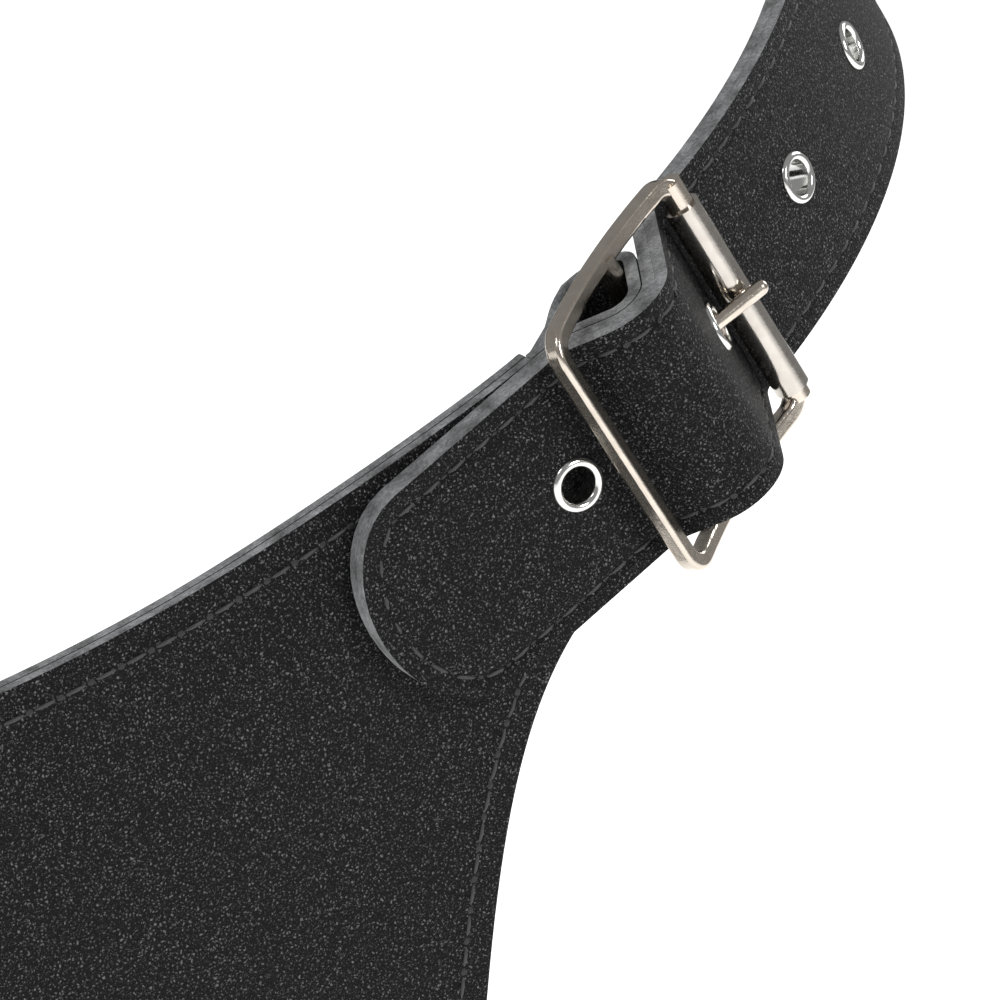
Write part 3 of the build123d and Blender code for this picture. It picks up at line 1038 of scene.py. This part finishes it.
# the panel's seam stops short of the neck, which is folded instead
NECK_START = (HOLE - NECK_DIR).dot(NECK_DIR)
for name, depth, sign in (("panel_stitches", 0.0, 1), ("panel_back_stitches", 2 * PLY, -1)):
    spots = []
    for p, d in along_loop(seam_loop, STITCH_PITCH):
        if flat_point(abs(p.x), p.y).dot(NECK_DIR) > NECK_START:
            continue
        a = panel_point(p.x, p.y, depth)
        b = panel_point(p.x + d.x, p.y + d.y, depth)
        n = (a - panel_point(p.x, p.y, depth + 1)).normalized() * sign
        spots.append((a, (b - a).normalized(), n, THREAD_LENGTH))
    stitch_row(name, spots)

# ------------------------------------------------------------------ cushion
PAD_DEPTH = 2 * PLY + 0.5
PAD_THICK = 35.5
PAD_MARGIN = 25.0               # cushion edge inside the panel's edge
CROWN_REACH = 55.0              # how far from the rim the back is still rounding
CROWN_DROP = 9.0
CHANNELS = (0.0, 62.0, 124.0)   # sewn channels, measured round the front
CHANNEL_HALF = 5.0
CHANNEL_DROP = 5.0
PAD_LOOP = whole_loop(cushion_outline(PAD_MARGIN))
cushion = flat_pattern(
    "back_cushion", PAD_LOOP, [3.0, 7.0, 12.0], 6.0, lambda s, z: panel_point(s, z, PAD_DEPTH)
)
front = min(cushion.data.polygons, key=lambda f: abs(f.center.x) + abs(f.center.z))
if front.normal.y > 0:
    flip(cushion)
thicken(cushion, PAD_THICK, rim_slot=0)
outline = rim_tree(PAD_LOOP)


def flat_of(co):
    """(s, z, depth) of a point in metres."""
    x = abs(co.x) / MM
    rel = Vector((x, co.y / MM, 0)) - ARC_CENTRE
    along_wing = rel.dot(WING)
    if along_wing > 0 and rel.dot(OUT) > 0:
        return ARC + along_wing, co.z / MM, RADIUS - rel.dot(OUT)
    a = math.atan2(rel.x, -rel.y)
    return a * RADIUS, co.z / MM, RADIUS - rel.length


for v in cushion.data.vertices:
    s, z, depth = flat_of(v.co)
    if depth < PAD_DEPTH + PAD_THICK * 0.5:
        continue
    side = -1 if v.co.x < 0 else 1
    near = outline.find((side * s, z, 0))[2]
    crown = min(1.0, near / CROWN_REACH)
    crown = math.sqrt(1 - (1 - crown) ** 2)
    channel = max(math.exp(-((s - line_s) / CHANNEL_HALF) ** 2) for line_s in CHANNELS)
    down = CROWN_DROP * (1 - crown) + CHANNEL_DROP * channel * crown
    v.co = panel_point(side * s, z, depth - down) * MM
ease_edges(cushion, 4.0, 3)
finish_modifier(cushion, "SUBSURF", levels=1, render_levels=1)
outward_normals(cushion)
smooth(cushion, 60)
wear(cushion, cushion_hide)
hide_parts("cushion_cover", "cushion_firm_foam", "cushion_soft_foam")
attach(cushion, "pad_and_strap")

# ------------------------------------------------------------------ metal
def repaint(node, mat):
    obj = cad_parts[node]
    obj.data.materials.clear()
    wear(obj, mat)


for side in ("right", "left"):
    repaint("buckle_frame_" + side, cast_nickel)
    repaint("buckle_prong_" + side, cast_nickel)
    repaint("buckle_roller_" + side, rolled_nickel)
    for k in range(1, 6):
        repaint("eyelet_%d_%s" % (k, side), bright_nickel)

# ------------------------------------------------------------------ room, light and camera
clear_selection()
floor_z = cad_box[0][2] - 0.5 * MM
bpy.ops.mesh.primitive_plane_add(size=12, location=(0, 0, floor_z))
floor = bpy.context.object
floor.name = "studio_floor"
wear(floor, paper)

world = bpy.data.worlds.new("studio")
bpy.context.scene.world = world
world.use_nodes = True
world.node_tree.nodes["Background"].inputs["Color"].default_value = (1, 1, 1, 1)
world.node_tree.nodes["Background"].inputs["Strength"].default_value = 0.3
bpy.context.scene.view_settings.view_transform = "Standard"


LIGHT_AIM = Vector((0.15, 0, 0.1))


def softbox(name, place, size, watts):
    lamp = bpy.data.lights.new(name, "AREA")
    lamp.shape = "RECTANGLE"
    lamp.size = size[0]
    lamp.size_y = size[1]
    lamp.energy = watts
    obj = bpy.data.objects.new(name, lamp)
    bpy.context.scene.collection.objects.link(obj)
    obj.location = place
    obj.rotation_euler = (LIGHT_AIM - Vector(place)).to_track_quat("-Z", "Y").to_euler()


# metres and watts
softbox("key_softbox", (1.5, -0.7, 1.1), (0.5, 0.7), 16)
softbox("left_softbox", (-0.7, -1.1, 1.4), (0.5, 0.5), 7)
softbox("rim_softbox", (1.0, 1.4, 1.2), (0.8, 0.8), 12)

VIEW_AZIMUTH = math.radians(18.13)
VIEW_RISE = math.radians(16.2)
VIEW_DISTANCE = 0.8
SENSOR = 36
LENS_FACTOR = 4.064             # focal length over the sensor's width
aim = Vector((165.75, -46.39, 147.56)) * MM
back = Vector((
    math.sin(VIEW_AZIMUTH) * math.cos(VIEW_RISE),
    -math.cos(VIEW_AZIMUTH) * math.cos(VIEW_RISE),
    math.sin(VIEW_RISE),
))
cam_data = bpy.data.cameras.new("camera")
cam_data.sensor_width = SENSOR
cam_data.lens = SENSOR * LENS_FACTOR
camera = bpy.data.objects.new("camera", cam_data)
bpy.context.scene.collection.objects.link(camera)
camera.location = aim + back * VIEW_DISTANCE
camera.rotation_euler = (-back).to_track_quat("-Z", "Y").to_euler()
bpy.context.scene.camera = camera
